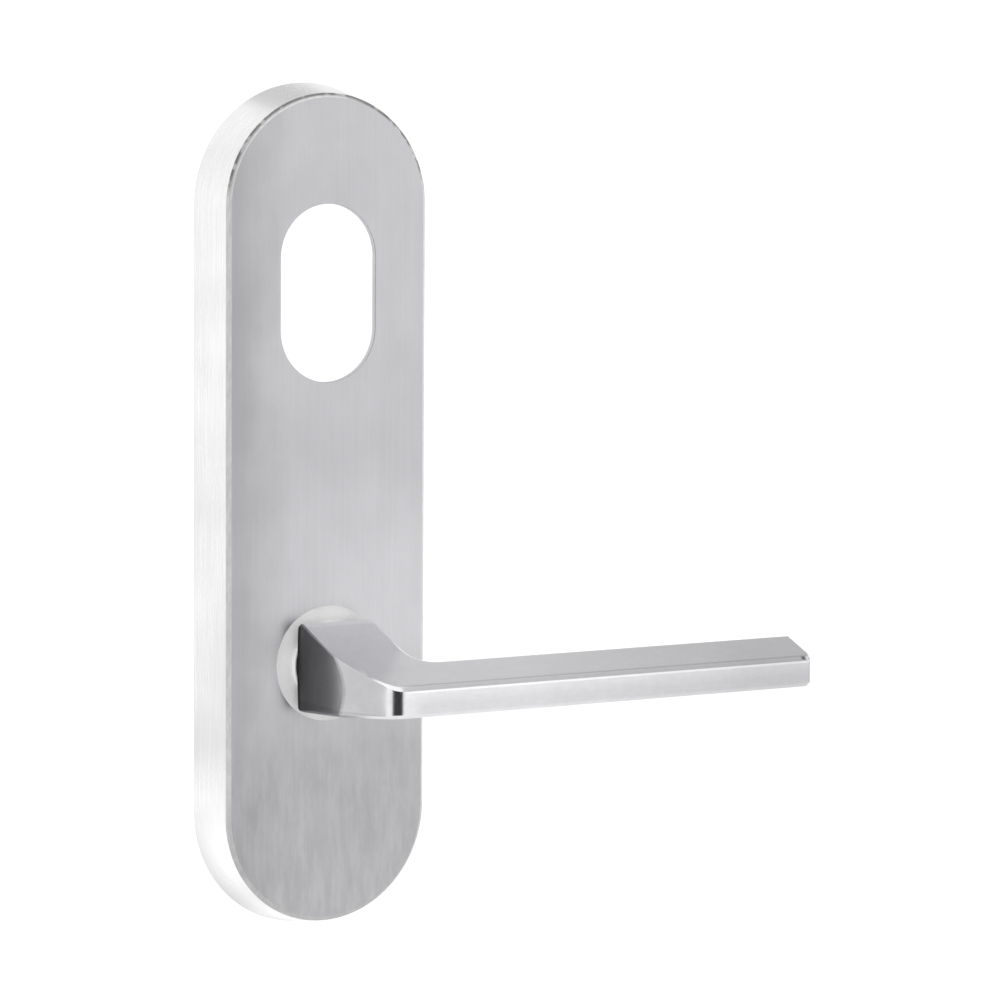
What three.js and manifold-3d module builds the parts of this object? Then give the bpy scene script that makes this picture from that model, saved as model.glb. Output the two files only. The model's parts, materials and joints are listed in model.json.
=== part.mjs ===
// Round-ended door plate with an oval cylinder opening above a sprung lever handle.
// Millimetres, +Z up. The origin is where the spindle's axis crosses the face of the door (y = 0):
// +Y goes into the door, -Y comes out of it towards the user, and +X is the way the grip points.
import * as THREE from "three";
import { mergeVertices } from "three/addons/utils/BufferGeometryUtils.js";
import Module from "manifold-3d";

const wasm = await Module();
wasm.setup();

// ---- driving dimensions -------------------------------------------------------------------------

const GAP = 0.3; // clearance left between touching pieces
const PAST = 1; // how far a cutter runs past the face it cuts
const EMBED = 0.5; // how far a rib or boss is sunk into the wall it grows from

const PLATE_W = 60;
const PLATE_H = 222;
const PLATE_D = 15;
const PLATE_Z = 41; // height of the plate's middle above the spindle
const PLATE_DRAFT = 2.4; // how much further out the rim at the door is than the front face, all round
const PLATE_BEVEL = 0.8;
const PLATE_WALL = 1.8;

const OPENING_W = 28.4;
const OPENING_H = 47.4;
const OPENING_Z = PLATE_Z + 58;

const LEVER_OFF = 5; // from the plate's front face to the lever's neck
const LEVER_OUT = 42.2; // from the plate's front face to the grip's front face
const NECK_HALF_W = 10.9;
const NECK_HALF_H = 11.9;
const GRIP_BACK = 29.2; // from the plate's front face to the back of the grip
const GRIP_TIP_X = 128.4;
const TOP_SLOPE = 0.365; // fall of the lever's top face for each millimetre outwards
const BOTTOM_SLOPE = 0.062; // rise of its underside
const GRIP_BEVEL = 1.6;

const JOURNAL_R = 9.05;
const SPINDLE_SIDE = 7.6;
const SPINDLE_IN = 16; // how far the spindle reaches into the lever, from the plate's front face
const SPINDLE_BACK = 40; // how far it stands out behind the plate

const CHASSIS_T = 2;
const CHASSIS_RECESS = 1; // from the door to the chassis plate's back
const WINDOW_W = 48;
const WINDOW_H = 57;
const SCREW_R = 1.4;
const SCREW_HEAD_R = 2.9;
const CHASSIS_SCREW_X = 19;
const CHASSIS_SCREW_UP = 90; // from the plate's middle, up and down
const BOSS_R = 3.5;
const BOSS_FLOOR = 1.5; // from the foot of a boss to the end of its hole

const POST_R = 4;
const POST_UP = 99; // from the plate's middle, up and down
const POST_BACK = 12; // how far the posts stand out behind the plate
const POST_BORE_R = 2.1;

const CASSETTE_R = 21;
const CASSETTE_WALL = 1.8;
const EAR_R = 3.2;
const EAR_AT_R = 24;
const EAR_ANGLES = [90, 210, 330];
const HUB_R = 8;
const LEVER_SWING = 45;

// ---- planes across the plate's depth, front to back ---------------------------------------------

const FRONT_Y = -PLATE_D;
const FRONT_INNER_Y = FRONT_Y + PLATE_WALL;
const CHASSIS_BACK_Y = -CHASSIS_RECESS;
const CHASSIS_FRONT_Y = CHASSIS_BACK_Y - CHASSIS_T;
const LID_BACK_Y = CHASSIS_FRONT_Y - GAP;
const LID_FRONT_Y = LID_BACK_Y - 1;
const HOUSING_BACK_Y = LID_FRONT_Y - GAP;
const HOUSING_FRONT_Y = -8.5;
const HOUSING_FLOOR_Y = HOUSING_FRONT_Y + 0.9;
const JOURNAL_END_Y = HOUSING_FRONT_Y - GAP;

const out = (distance) => FRONT_Y - distance; // y at a distance in front of the plate
const radians = (degrees) => (degrees * Math.PI) / 180;

// ---- solids -------------------------------------------------------------------------------------

// A closed manifold-3d solid from a three.js geometry.
function solid(geometry) {
  const bare = new THREE.BufferGeometry();
  const flat = geometry.index ? geometry.toNonIndexed() : geometry;
  bare.setAttribute("position", flat.getAttribute("position"));
  const merged = mergeVertices(bare, 1e-4);
  return new wasm.Manifold(
    new wasm.Mesh({
      numProp: 3,
      vertProperties: merged.attributes.position.array,
      triVerts: new Uint32Array(merged.index.array),
    }),
  );
}

// A solid turned about the spindle's axis (Y): each profile point is [radius, y].
function turned(profile, segments = 48) {
  const points = [...profile, profile[0]].map(([r, y]) => new THREE.Vector2(r, y));
  return solid(new THREE.LatheGeometry(points, segments));
}

// A ring or disc about the spindle's axis, between two radii and two planes.
function ring(innerR, outerR, backY, frontY, segments = 48) {
  return turned([[innerR, frontY], [outerR, frontY], [outerR, backY], [innerR, backY]], segments);
}

// A round bar along Y at a place in the plate's plane.
function bar(radius, backY, frontY, x = 0, z = 0, segments = 32) {
  return ring(0, radius, backY, frontY, segments).translate([x, 0, z]);
}

// A flat outline in X and Z made into a slab between two planes.
function slab(shape, backY, frontY, curveSegments = 24) {
  const geometry = new THREE.ExtrudeGeometry(shape, {
    depth: backY - frontY,
    bevelEnabled: false,
    curveSegments,
  });
  geometry.rotateX(Math.PI / 2);
  geometry.translate(0, backY, 0);
  return solid(geometry);
}

// A round-ended upright outline.
function stadium(width, height, z = 0) {
  const r = width / 2;
  const straight = height / 2 - r;
  const shape = new THREE.Shape();
  shape.absarc(0, z + straight, r, 0, Math.PI);
  shape.absarc(0, z - straight, r, Math.PI, 2 * Math.PI);
  return shape;
}

// A regular outline with a corner at the top.
function polygon(radius, sides, x = 0, z = 0) {
  const shape = new THREE.Shape();
  for (let i = 0; i < sides; i++) {
    const angle = Math.PI / 2 + (2 * Math.PI * i) / sides;
    shape[i ? "lineTo" : "moveTo"](x + radius * Math.cos(angle), z + radius * Math.sin(angle));
  }
  return shape;
}

function square(side) {
  return new THREE.Shape()
    .moveTo(-side / 2, -side / 2)
    .lineTo(side / 2, -side / 2)
    .lineTo(side / 2, side / 2)
    .lineTo(-side / 2, side / 2);
}

// A piece of a ring seen from the front, between two radii and two angles in degrees from +X.
function sector(innerR, outerR, fromDeg, toDeg) {
  const shape = new THREE.Shape();
  shape.absarc(0, 0, outerR, radians(fromDeg), radians(toDeg));
  shape.absarc(0, 0, innerR, radians(toDeg), radians(fromDeg), true);
  return shape;
}

// A closed skin over stacked round-ended outlines, each [y, how far out from the plate's outline].
function stackedPlate(layers, arcSteps = 32) {
  const positions = [];
  const rings = layers.map(([y, offset]) => {
    const shape = stadium(PLATE_W + 2 * offset, PLATE_H + 2 * offset, PLATE_Z);
    const points = shape.getPoints(arcSteps);
    if (points[0].distanceTo(points[points.length - 1]) < 1e-6) points.pop();
    return points.map((p) => [p.x, y, p.y]);
  });
  const corner = (list, i) => list[i % list.length];
  const face = (...corners) => corners.forEach((c) => positions.push(...c));
  for (let k = 0; k + 1 < rings.length; k++)
    for (let i = 0; i < rings[k].length; i++) {
      const [a, b] = [corner(rings[k], i), corner(rings[k], i + 1)];
      const [c, d] = [corner(rings[k + 1], i), corner(rings[k + 1], i + 1)];
      face(a, b, c);
      face(b, d, c);
    }
  const cap = (list, turn) => {
    const middle = [0, list[0][1], PLATE_Z];
    for (let i = 0; i < list.length; i++) {
      const pair = [corner(list, i), corner(list, i + 1)];
      face(middle, pair[turn], pair[1 - turn]);
    }
  };
  cap(rings[0], 1);
  cap(rings[rings.length - 1], 0);
  const geometry = new THREE.BufferGeometry();
  geometry.setAttribute("position", new THREE.Float32BufferAttribute(positions, 3));
  return solid(geometry);
}

// ---- materials ----------------------------------------------------------------------------------

const satinSteel = { color: 0xb9bbbd, roughness: 0.35, metalness: 1 };
const brightSteel = { color: 0xd4d6d8, roughness: 0.2, metalness: 1 };
const zincSteel = { color: 0x9aa0a4, roughness: 0.45, metalness: 1 };
const springSteel = { color: 0x5c6064, roughness: 0.4, metalness: 1 };
const blackNylon = { color: 0x151515, roughness: 0.6, metalness: 0 };
const paleNylon = { color: 0xcccccc, roughness: 0.5, metalness: 0 };

const part = new THREE.Group();
part.name = "oval_cylinder_lever_plate";

// Adds one named piece to the part.
function piece(name, made, look) {
  const { vertProperties, triVerts } = made.getMesh();
  const geometry = new THREE.BufferGeometry();
  geometry.setAttribute("position", new THREE.BufferAttribute(vertProperties, 3));
  geometry.setIndex(new THREE.BufferAttribute(triVerts, 1));
  geometry.computeVertexNormals();
  const mesh = new THREE.Mesh(geometry, new THREE.MeshStandardMaterial(look));
  mesh.name = name;
  part.add(mesh);
}

// ---- plate --------------------------------------------------------------------------------------

// How far the plate's outside stands out from its front outline at a depth, by the draft alone.
function draftAt(y) {
  const bevelY = FRONT_Y + PLATE_BEVEL;
  return PLATE_DRAFT * (1 - y / bevelY);
}

const upAndDown = (distance) => [PLATE_Z + distance, PLATE_Z - distance];

const chassisScrewPlaces = upAndDown(CHASSIS_SCREW_UP).flatMap((z) => [
  [-CHASSIS_SCREW_X, z],
  [CHASSIS_SCREW_X, z],
]);

const cassetteScrewPlaces = EAR_ANGLES.map((angle) => [
  EAR_AT_R * Math.cos(radians(angle)),
  EAR_AT_R * Math.sin(radians(angle)),
]);

function coverPlate() {
  const bevelY = FRONT_Y + PLATE_BEVEL;
  let cover = stackedPlate([
    [0, PLATE_DRAFT],
    [bevelY, 0],
    [FRONT_Y, -PLATE_BEVEL],
  ]);
  cover = cover.subtract(
    stackedPlate([
      [PAST, draftAt(PAST) - PLATE_WALL],
      [FRONT_INNER_Y, draftAt(FRONT_INNER_Y) - PLATE_WALL],
    ]),
  );
  for (const [x, z] of chassisScrewPlaces) {
    const boss = bar(BOSS_R, CHASSIS_FRONT_Y - GAP, FRONT_INNER_Y - EMBED, x, z, 24);
    const hole = bar(SCREW_R + GAP, PAST, FRONT_INNER_Y + BOSS_FLOOR, x, z, 16);
    cover = cover.add(boss).subtract(hole);
  }
  const opening = slab(stadium(OPENING_W, OPENING_H, OPENING_Z), PAST, FRONT_Y - PAST);
  const leverBore = bar(BUSH_SEAT_R + GAP, PAST, FRONT_Y - PAST, 0, 0, 48);
  return cover.subtract(opening).subtract(leverBore);
}

function chassisPlate() {
  const outset = draftAt(CHASSIS_FRONT_Y) - PLATE_WALL - 1.5 * GAP;
  let plate = stackedPlate([
    [CHASSIS_BACK_Y, outset],
    [CHASSIS_FRONT_Y, outset],
  ]);
  const cut = (shape) => {
    plate = plate.subtract(slab(shape, PAST, CHASSIS_FRONT_Y - PAST));
  };
  cut(stadium(WINDOW_W, WINDOW_H, OPENING_Z));
  cut(polygon(HUB_R + 3 * GAP, 48));
  upAndDown(POST_UP).forEach((z) => cut(polygon(POST_R + GAP, 32, 0, z)));
  for (const [x, z] of [...chassisScrewPlaces, ...cassetteScrewPlaces])
    plate = plate.subtract(countersunk(GAP, PAST, CHASSIS_FRONT_Y - PAST).translate([x, 0, z]));
  return plate;
}

// A countersunk screw's outside, grown by a clearance, with its head flush with the chassis plate.
function countersunk(clearance, backY, tipY) {
  const head = SCREW_HEAD_R + clearance;
  const shank = SCREW_R + clearance;
  return turned(
    [
      [0, tipY],
      [shank, tipY],
      [shank, CHASSIS_BACK_Y - (head - shank)],
      [head, CHASSIS_BACK_Y],
      [head, backY],
      [0, backY],
    ],
    24,
  );
}

// A countersunk screw with a hexagon socket.
function screw(tipY, x, z) {
  const socketR = 1.2;
  const socketDepth = 1.1;
  const socket = slab(polygon(socketR, 6), PAST, CHASSIS_BACK_Y - socketDepth);
  return countersunk(0, CHASSIS_BACK_Y, tipY).subtract(socket).translate([x, 0, z]);
}

// A threaded post for a bolt through the door, with a hexagon foot held behind the front face.
function fixingPost(z) {
  const footR = 6.4;
  const footDepth = 3;
  const footBackY = CHASSIS_FRONT_Y - GAP;
  const chamfer = 0.6;
  const foot = slab(polygon(footR, 6), footBackY, footBackY - footDepth);
  const stem = turned(
    [
      [0, footBackY - PAST],
      [POST_R, footBackY - PAST],
      [POST_R, POST_BACK - chamfer],
      [POST_R - chamfer, POST_BACK],
      [0, POST_BACK],
    ],
    32,
  );
  const bore = bar(POST_BORE_R, POST_BACK + PAST, CHASSIS_BACK_Y, 0, 0, 24);
  return foot.add(stem).subtract(bore).translate([0, 0, z]);
}

// ---- lever's bearing ----------------------------------------------------------------------------

const PAD_T = 1;
const BUSH_SEAT_R = 13.2; // outside of the ring's body, in the plate's bore
const BUSH_R = 10.2;
const BUSH_OUT = 1.9;
const RING_R = 15.5;
const RING_EDGE = 0.9; // height of the ring's upright outer edge
const RING_RISE = 0.3; // how much higher than its edge the ring is at the foot of its lip
const LIP_R = 11.2;
const LIP_OUT = 2.2;
const LIP_BEVEL = 0.2;

// A nearly flat ring round the lever's neck, with a narrow raised lip at its inner edge.
function bearingRing() {
  const inner = BUSH_R + GAP;
  const domeSteps = 4;
  const dome = [];
  for (let i = 0; i <= domeSteps; i++) {
    const t = i / domeSteps;
    const r = LIP_R + (RING_R - LIP_R) * t;
    dome.push([r, out(RING_EDGE + RING_RISE * (1 - t * t))]);
  }
  return turned(
    [
      [inner, FRONT_INNER_Y + 2 * GAP],
      [inner, out(LIP_OUT - LIP_BEVEL)],
      [inner + LIP_BEVEL, out(LIP_OUT)],
      [LIP_R - LIP_BEVEL, out(LIP_OUT)],
      ...dome,
      [RING_R, out(GAP)],
      [BUSH_SEAT_R, out(GAP)],
      [BUSH_SEAT_R, FRONT_INNER_Y + 2 * GAP],
    ],
    64,
  );
}

const BUSH_BACK_Y = -12.7;
const neckBush = () => ring(JOURNAL_R + GAP, BUSH_R, BUSH_BACK_Y, out(BUSH_OUT), 64);
const THRUST_R = 12.5;
const THRUST_BACK_Y = BUSH_BACK_Y + 3 * GAP;
const thrustWasher = () => ring(JOURNAL_R + GAP, THRUST_R, THRUST_BACK_Y, BUSH_BACK_Y + GAP);

// A thin pad between the lever's neck and the ring: the neck's outline with bowed sides.
function neckPad() {
  const corner = 1.4;
  const sideBow = 0.5;
  const lowBow = 0.3;
  const w = NECK_HALF_W;
  const top = NECK_HALF_H - 0.5;
  const bottom = -NECK_HALF_H;
  const shape = new THREE.Shape()
    .moveTo(corner - w, bottom)
    .quadraticCurveTo(0, bottom - lowBow, w - corner, bottom)
    .quadraticCurveTo(w, bottom, w, bottom + corner)
    .quadraticCurveTo(w + sideBow, 0, w, top - corner)
    .quadraticCurveTo(w, top, w - corner, top)
    .lineTo(corner - w, top)
    .quadraticCurveTo(-w, top, -w, top - corner)
    .quadraticCurveTo(-w - sideBow, 0, -w, bottom + corner)
    .quadraticCurveTo(-w, bottom, corner - w, bottom);
  const backY = out(LEVER_OFF - GAP - PAD_T);
  const frontY = out(LEVER_OFF - GAP);
  const bore = bar(JOURNAL_R + GAP, backY + PAST, frontY - PAST, 0, 0, 48);
  return slab(shape, backY, frontY, 8).subtract(bore);
}

// A thin ring that rises and falls three times round, as a spring washer does.
function waveWasher() {
  const around = 48;
  const thickness = 0.3;
  const wave = 0.1;
  const innerR = JOURNAL_R + GAP;
  const outerR = 12;
  const middleY = -11.2;
  const positions = [];
  const point = (i, r, side) => {
    const angle = (2 * Math.PI * (i % around)) / around;
    const y = middleY + wave * Math.sin(3 * angle) + (side * thickness) / 2;
    return [r * Math.cos(angle), y, r * Math.sin(angle)];
  };
  const quad = (a, b, c, d) => positions.push(...a, ...b, ...c, ...a, ...c, ...d);
  for (let i = 0; i < around; i++) {
    const rim = (n) => [[innerR, -1], [outerR, -1], [outerR, 1], [innerR, 1]].map(
      ([r, side]) => point(n, r, side),
    );
    const here = rim(i);
    const next = rim(i + 1);
    for (let k = 0; k < 4; k++) quad(here[k], here[(k + 1) % 4], next[(k + 1) % 4], next[k]);
  }
  const geometry = new THREE.BufferGeometry();
  geometry.setAttribute("position", new THREE.Float32BufferAttribute(positions, 3));
  return solid(geometry);
}

const GROOVE_R = 8.2;
const CIRCLIP_FRONT_Y = -10.6;
const CIRCLIP_BACK_Y = -9.8;

// An open retaining ring with two drilled lugs at its gap.
function circlip() {
  const outerR = 10.6;
  const opening = 26;
  const lugR = 1.7;
  const lugAtR = 10.9;
  const lugTurn = 5; // degrees from the gap's edge to the middle of a lug
  let clip = slab(
    sector(GROOVE_R + GAP, outerR, -90 + opening / 2, 270 - opening / 2),
    CIRCLIP_BACK_Y,
    CIRCLIP_FRONT_Y,
  );
  for (const side of [-1, 1]) {
    const angle = radians(-90 + side * (opening / 2 + lugTurn));
    const x = lugAtR * Math.cos(angle);
    const z = lugAtR * Math.sin(angle);
    clip = clip
      .add(bar(lugR, CIRCLIP_BACK_Y, CIRCLIP_FRONT_Y, x, z, 20))
      .subtract(bar(lugR / 2, CIRCLIP_BACK_Y + PAST, CIRCLIP_FRONT_Y - PAST, x, z, 16));
  }
  const shaft = bar(GROOVE_R + GAP, CIRCLIP_BACK_Y + PAST, CIRCLIP_FRONT_Y - PAST, 0, 0, 48);
  return clip.subtract(shaft);
}

// ---- spring cassette ----------------------------------------------------------------------------

const STOP_BACK_Y = HOUSING_BACK_Y;
const STOP_FRONT_Y = HOUSING_BACK_Y - 1.4;
const ARM_HALF_DEG = 10;
const ARM_REST_DEG = 90 + LEVER_SWING / 2;
const STOP_CLEAR_DEG = 1.5;
const STOP_DEG = 12;
const ARM_R = 17;
const SPRING_FRONT_Y = HOUSING_FLOOR_Y + GAP;
const SPRING_BACK_Y = STOP_FRONT_Y - GAP;

// Adds three screw ears to a disc.
function withEars(disc, backY, frontY) {
  const rootIn = 3; // from an ear's middle to the middle of its root in the disc
  return cassetteScrewPlaces.reduce((made, [x, z], i) => {
    const angle = radians(EAR_ANGLES[i]);
    const ear = bar(EAR_R, backY, frontY, x, z, 24);
    const root = ear.translate([-rootIn * Math.cos(angle), 0, -rootIn * Math.sin(angle)]);
    return made.add(ear).add(root);
  }, disc);
}

// The cassette's cup, with two stops for the hub's arm and an anchor for the spring's outer end.
function cassetteHousing() {
  const inner = CASSETTE_R - CASSETTE_WALL;
  let housing = withEars(
    ring(0, CASSETTE_R, HOUSING_BACK_Y, HOUSING_FRONT_Y),
    HOUSING_BACK_Y,
    HOUSING_FRONT_Y,
  );
  housing = housing.subtract(ring(0, inner, PAST, HOUSING_FLOOR_Y));
  housing = housing.subtract(bar(HUB_R + GAP, PAST, HOUSING_FRONT_Y - PAST, 0, 0, 48));
  const stopInner = HUB_R + 3;
  for (const side of [-1, 1]) {
    const near = LEVER_SWING / 2 + ARM_HALF_DEG + STOP_CLEAR_DEG;
    const from = 90 + side * near;
    const to = 90 + side * (near + STOP_DEG);
    const block = sector(stopInner, inner + EMBED, Math.min(from, to), Math.max(from, to));
    housing = housing.add(slab(block, STOP_BACK_Y, STOP_FRONT_Y));
  }
  const anchor = sector(SPRING_OUTER_R + GAP, inner + EMBED, -100, -80);
  housing = housing.add(slab(anchor, SPRING_BACK_Y, HOUSING_FLOOR_Y));
  for (const [x, z] of cassetteScrewPlaces)
    housing = housing.subtract(bar(SCREW_R + GAP, PAST, HOUSING_FLOOR_Y, x, z, 16));
  return housing;
}

function cassetteLid() {
  let lid = withEars(ring(HUB_R + GAP, CASSETTE_R, LID_BACK_Y, LID_FRONT_Y), LID_BACK_Y, LID_FRONT_Y);
  for (const [x, z] of cassetteScrewPlaces)
    lid = lid.subtract(bar(SCREW_R + GAP, PAST, LID_FRONT_Y - PAST, x, z, 16));
  return lid;
}

// The follower that the spindle turns: a barrel, and an arm that meets the cassette's two stops.
function driveHub() {
  const from = ARM_REST_DEG - ARM_HALF_DEG;
  const arm = sector(HUB_R - EMBED, ARM_R, from, from + 2 * ARM_HALF_DEG);
  return bar(HUB_R, LID_BACK_Y - GAP, JOURNAL_END_Y + GAP, 0, 0, 48)
    .add(slab(arm, STOP_BACK_Y - GAP / 2, STOP_FRONT_Y + GAP / 2))
    .subtract(slab(square(SPINDLE_SIDE + 2 * GAP), PAST, JOURNAL_END_Y - PAST));
}

const SPRING_INNER_R = HUB_R + GAP;
const SPRING_OUTER_R = 17;

// A flat clock spring: a strip wound outwards in a spiral round the hub.
function returnSpring() {
  const turns = 3.25;
  const strip = 1.1;
  const steps = 130;
  const side = (grow) => {
    const points = [];
    for (let i = 0; i <= steps; i++) {
      const t = i / steps;
      const r = SPRING_INNER_R + (SPRING_OUTER_R - strip - SPRING_INNER_R) * t + grow;
      const angle = 2 * Math.PI * turns * t;
      points.push(new THREE.Vector2(r * Math.cos(angle), r * Math.sin(angle)));
    }
    return points;
  };
  const shape = new THREE.Shape([...side(strip), ...side(0).reverse()]);
  return slab(shape, SPRING_BACK_Y, SPRING_FRONT_Y);
}

// ---- lever --------------------------------------------------------------------------------------

// The lever seen from above: a neck that comes straight out of the plate and sweeps into the grip.
function leverPlan() {
  const neckIn = 0.4; // how much each side of the neck draws in before it turns
  const turnOut = 26; // where the left side turns in
  const [facetX, facetOut] = [-4.2, 39.2]; // where that slanted side meets the rounded corner
  const [cornerX, cornerEndX] = [-2.1, 1.8];
  const tipRound = 2.5;
  const sweepStart = 19;
  const sweepEndX = 18.5;
  const sweepPull = 4.5; // how far before the grip the sweep starts to turn
  return new THREE.Shape()
    .moveTo(-NECK_HALF_W, out(LEVER_OFF))
    .lineTo(NECK_HALF_W, out(LEVER_OFF))
    .lineTo(NECK_HALF_W - neckIn, out(sweepStart))
    .bezierCurveTo(
      NECK_HALF_W - 1.5 * neckIn, out(GRIP_BACK - sweepPull),
      NECK_HALF_W + neckIn, out(GRIP_BACK),
      sweepEndX, out(GRIP_BACK),
    )
    .lineTo(GRIP_TIP_X, out(GRIP_BACK))
    .lineTo(GRIP_TIP_X, out(LEVER_OUT - tipRound))
    .quadraticCurveTo(GRIP_TIP_X, out(LEVER_OUT), GRIP_TIP_X - tipRound, out(LEVER_OUT))
    .lineTo(cornerEndX, out(LEVER_OUT))
    .quadraticCurveTo(cornerX, out(LEVER_OUT), facetX, out(facetOut))
    .lineTo(-NECK_HALF_W + neckIn, out(turnOut));
}

// Heights of the lever's top and bottom faces at a distance from the plate's front face.
const leverTop = (distance) => NECK_HALF_H - TOP_SLOPE * (distance - LEVER_OFF);
const leverBottom = (distance) => -NECK_HALF_H + BOTTOM_SLOPE * (distance - LEVER_OFF);

// The lever seen along the grip: a wedge with its front edges bevelled, right across its length.
function leverWedge() {
  const edge = LEVER_OUT - GRIP_BEVEL;
  const low = 0.75 * GRIP_BEVEL;
  const lowEdge = LEVER_OUT - low;
  const profile = [
    [LEVER_OFF, leverBottom(LEVER_OFF)],
    [LEVER_OFF, leverTop(LEVER_OFF)],
    [edge, leverTop(edge)],
    [LEVER_OUT, leverTop(edge) - GRIP_BEVEL],
    [LEVER_OUT, leverBottom(lowEdge) + low],
    [lowEdge, leverBottom(lowEdge)],
  ];
  const shape = new THREE.Shape(profile.map(([d, z]) => new THREE.Vector2(out(d), z)));
  const length = GRIP_TIP_X + 3 * NECK_HALF_W;
  const geometry = new THREE.ExtrudeGeometry(shape, { depth: length, bevelEnabled: false });
  const alongX = new THREE.Matrix4().makeBasis(
    new THREE.Vector3(0, 1, 0),
    new THREE.Vector3(0, 0, 1),
    new THREE.Vector3(1, 0, 0),
  );
  geometry.applyMatrix4(alongX);
  geometry.translate(-2 * NECK_HALF_W, 0, 0);
  return solid(geometry);
}

const SET_SCREW_R = 2.5;
const SET_SCREW_OUT = 11;

// The neck and grip in one, with the round journal behind them and the holes for the spindle.
function leverHandle() {
  const plan = new THREE.ExtrudeGeometry(leverPlan(), {
    depth: 4 * NECK_HALF_H,
    bevelEnabled: false,
    curveSegments: 12,
  });
  plan.translate(0, 0, -2 * NECK_HALF_H);
  const journal = turned([
    [0, out(LEVER_OFF + PAST)],
    [JOURNAL_R, out(LEVER_OFF + PAST)],
    [JOURNAL_R, CIRCLIP_FRONT_Y - GAP],
    [GROOVE_R, CIRCLIP_FRONT_Y - GAP],
    [GROOVE_R, CIRCLIP_BACK_Y + GAP],
    [JOURNAL_R, CIRCLIP_BACK_Y + GAP],
    [JOURNAL_R, JOURNAL_END_Y],
    [0, JOURNAL_END_Y],
  ]);
  const socket = slab(square(SPINDLE_SIDE + 2 * GAP), PAST, out(SPINDLE_IN + GAP));
  const screwHole = upright(bar(SET_SCREW_R + GAP, 0, -2 * NECK_HALF_H, 0, 0, 24));
  return solid(plan)
    .intersect(leverWedge())
    .add(journal)
    .subtract(socket)
    .subtract(screwHole.translate([0, out(SET_SCREW_OUT), 0]));
}

// Turns a bar that runs along -Y from the origin so that it hangs down along -Z.
const upright = (made) => made.rotate([90, 0, 0]);

// A grub screw that bears on the spindle, sunk a little into the lever's underside.
function setScrew() {
  const sunk = 1;
  const socketR = 1.5;
  const socketDepth = 2;
  const bottomZ = leverBottom(SET_SCREW_OUT) + sunk;
  const topZ = -SPINDLE_SIDE / 2 - GAP;
  const socket = slab(polygon(socketR, 6), bottomZ + socketDepth, bottomZ - PAST);
  return upright(bar(SET_SCREW_R, topZ, bottomZ, 0, 0, 24).subtract(socket)).translate([
    0,
    out(SET_SCREW_OUT),
    0,
  ]);
}

const spindle = () => slab(square(SPINDLE_SIDE), SPINDLE_BACK, out(SPINDLE_IN));

// ---- the part -----------------------------------------------------------------------------------

piece("cover_plate", coverPlate(), satinSteel);
piece("chassis_plate", chassisPlate(), zincSteel);
chassisScrewPlaces.forEach(([x, z], i) =>
  piece(`chassis_screw_${i + 1}`, screw(FRONT_INNER_Y + BOSS_FLOOR + PAST, x, z), zincSteel),
);
piece("fixing_post_upper", fixingPost(PLATE_Z + POST_UP), brightSteel);
piece("fixing_post_lower", fixingPost(PLATE_Z - POST_UP), brightSteel);
piece("bearing_ring", bearingRing(), paleNylon);
piece("neck_bush", neckBush(), blackNylon);
piece("cassette_housing", cassetteHousing(), zincSteel);
piece("cassette_lid", cassetteLid(), zincSteel);
cassetteScrewPlaces.forEach(([x, z], i) =>
  piece(`cassette_screw_${i + 1}`, screw(HOUSING_FLOOR_Y + GAP, x, z), zincSteel),
);
piece("return_spring", returnSpring(), springSteel);
piece("lever_handle", leverHandle(), satinSteel);
piece("spindle", spindle(), zincSteel);
piece("set_screw", setScrew(), springSteel);
piece("neck_pad", neckPad(), blackNylon);
piece("drive_hub", driveHub(), zincSteel);
piece("thrust_washer", thrustWasher(), brightSteel);
piece("wave_washer", waveWasher(), springSteel);
piece("circlip", circlip(), springSteel);

export default part;
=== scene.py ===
"""Looks for the lever handle on its oval-cylinder plate, in the frame of its CAD model.

Metres, +Z up. The origin is where the spindle's axis crosses the face of the door (y = 0):
-Y comes out of the door towards the user and +X is the way the grip points.
"""

import json
import math

import bmesh
import bpy
from mathutils import Matrix, Vector


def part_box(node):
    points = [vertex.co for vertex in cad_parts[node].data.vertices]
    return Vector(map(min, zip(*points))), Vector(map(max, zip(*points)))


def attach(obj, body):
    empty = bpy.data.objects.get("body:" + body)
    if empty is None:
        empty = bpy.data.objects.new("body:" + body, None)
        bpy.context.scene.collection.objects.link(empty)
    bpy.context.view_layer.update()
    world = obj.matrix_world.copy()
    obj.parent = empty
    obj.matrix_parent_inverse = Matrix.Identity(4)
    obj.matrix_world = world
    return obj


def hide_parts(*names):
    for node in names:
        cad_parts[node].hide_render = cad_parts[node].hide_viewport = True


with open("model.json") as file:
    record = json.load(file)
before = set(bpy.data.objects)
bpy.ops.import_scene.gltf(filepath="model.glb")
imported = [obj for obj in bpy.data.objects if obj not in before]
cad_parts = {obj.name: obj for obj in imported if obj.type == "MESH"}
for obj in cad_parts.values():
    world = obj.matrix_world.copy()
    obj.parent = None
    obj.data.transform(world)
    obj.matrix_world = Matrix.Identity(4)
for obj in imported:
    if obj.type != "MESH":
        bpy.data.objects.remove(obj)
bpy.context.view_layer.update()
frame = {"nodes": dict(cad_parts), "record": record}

MM = 0.001
PLATE_BODY = "plate"
LEVER_BODY = "lever"

# ---- sizes, from the frame ----------------------------------------------------------------------

COVER_LOW, COVER_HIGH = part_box("cover_plate")
LEVER_LOW, LEVER_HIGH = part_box("lever_handle")

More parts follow.
